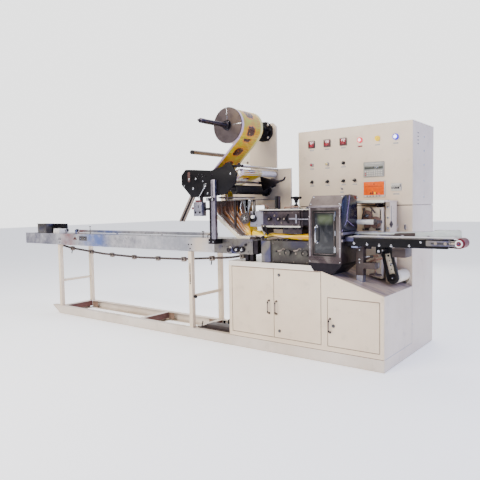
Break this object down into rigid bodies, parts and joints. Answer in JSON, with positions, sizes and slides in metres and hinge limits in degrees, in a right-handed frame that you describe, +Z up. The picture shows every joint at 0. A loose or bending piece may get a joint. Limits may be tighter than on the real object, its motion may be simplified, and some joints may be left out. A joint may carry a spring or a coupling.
{
  "type": "pouch packing machine",
  "caption": "Horizontal pouch packing machine with a pusher chain infeed, film reel tower, folding box, fin seal unit, end sealing hood, discharge belt and control cabinet",
  "frame": {"origin": "middle of the footprint, on the floor", "axes": "+X with the product from infeed to discharge, +Y from the operator's side to the back, +Z up"},
  "size_m": [5.0399, 1.494, 2],
  "materials": {
    "cream_paint": "satin",
    "base_steel": "worn primer",
    "bed_plate": "satin",
    "chrome": "polished",
    "steel": "brushed",
    "dark_steel": "oiled",
    "black_paint": "satin",
    "black_rubber": "matte",
    "cream_arm": "satin",
    "panel_dark": "gloss",
    "panel_plastic": "matte",
    "film": "glossy film",
    "dark_glass": "tinted"
  },
  "bodies": {
    "frame": {"arm_belt": "black_rubber", "bed_strip": "bed_plate", "belt_arm": "cream_arm", "cabinet_back": "cream_paint", "cabinet_floor": "cream_paint", "cabinet_sides": "cream_paint", "cabinet_top": "cream_paint", "chain_sprockets": "dark_steel", "control_cabinet": "cream_paint", "cross_channels": "base_steel", "discharge_belt": "black_rubber", "discharge_frame": "black_paint", "discharge_stand": "steel", "door_pins": "dark_steel", "end_bracket": "base_steel", "feed_rollers": "black_rubber", "feed_side_plate": "black_paint", "film_sensor": "black_paint", "film_tube": "film", "film_web": "film", "fin_seal_lower": "dark_steel", "fin_seal_upper": "steel", "former": "steel", "front_posts": "cream_paint", "front_rails": "cream_paint", "guide_roller": "steel", "hood_base": "black_paint", "hood_cover": "steel", "hood_front": "steel", "hood_walls": "steel", "infeed_deck": "steel", "infeed_drive": "steel", "infeed_end_stops": "panel_plastic", "infeed_frame": "steel", "left_leg_frame": "cream_paint", "mast": "steel", "panel_buttons": "panel_plastic", "panel_displays": "panel_dark", "pusher_chain": "dark_steel", "rear_shelf": "cream_paint", "reel_bearing": "black_paint", "right_leg_frame": "cream_paint", "seal_gearbox": "dark_steel", "side_channels": "base_steel", "tower": "cream_paint"},
    "left_leaf": {"left_door": "cream_paint", "left_door_handle": "chrome"},
    "right_leaf": {"right_door": "cream_paint", "right_door_handle": "chrome"},
    "small_leaf": {"small_door": "cream_paint", "small_door_handle": "chrome"},
    "window_leaf": {"window_door": "dark_glass"},
    "film_reel": {"reel_shaft": "chrome", "film_roll": "film"},
    "pressure_wheel": {"pressure_handwheel": "black_paint"},
    "height_wheel": {"height_handwheel": "black_paint"},
    "lower_jaw_body": {"lower_jaw": "dark_steel"},
    "upper_jaw_body": {"upper_jaw": "dark_steel"}
  },
  "joints": [
    {"name": "left_door_hinge", "type": "hinge", "parent": "frame", "child": "left_leaf", "pos_m": [0.679, -0.332, 0.134], "axis": [0, 0, 1], "range_deg": [-110, 0]},
    {"name": "right_door_hinge", "type": "hinge", "parent": "frame", "child": "right_leaf", "pos_m": [1.508, -0.332, 0.134], "axis": [0, 0, 1], "range_deg": [0, 110]},
    {"name": "small_door_hinge", "type": "hinge", "parent": "frame", "child": "small_leaf", "pos_m": [1.969, -0.332, 0.134], "axis": [0, 0, 1], "range_deg": [0, 110]},
    {"name": "window_hinge", "type": "hinge", "parent": "frame", "child": "window_leaf", "pos_m": [1.626, -0.332, 0.817], "axis": [0, 0, 1], "range_deg": [0, 110]},
    {"name": "reel_spin", "type": "hinge", "parent": "frame", "child": "film_reel", "pos_m": [0.69, 0.091, 1.853], "axis": [0, 1, 0], "continuous": true},
    {"name": "pressure_wheel_turn", "type": "hinge", "parent": "frame", "child": "pressure_wheel", "pos_m": [1.268, -0.267, 1.176], "axis": [0, 0, 1], "continuous": true},
    {"name": "height_wheel_turn", "type": "hinge", "parent": "frame", "child": "height_wheel", "pos_m": [1.86, -0.132, 0.716], "axis": [0, 0, 1], "continuous": true},
    {"name": "lower_jaw_spin", "type": "hinge", "parent": "frame", "child": "lower_jaw_body", "pos_m": [1.55, -0.069, 0.885], "axis": [0, 1, 0], "continuous": true},
    {"name": "upper_jaw_spin", "type": "hinge", "parent": "frame", "child": "upper_jaw_body", "pos_m": [1.55, -0.069, 0.993], "axis": [0, 1, 0], "continuous": true}
  ],
  "couplings": [
    {"joint": "upper_jaw_spin", "follows": "lower_jaw_spin", "ratio": -1}
  ]
}
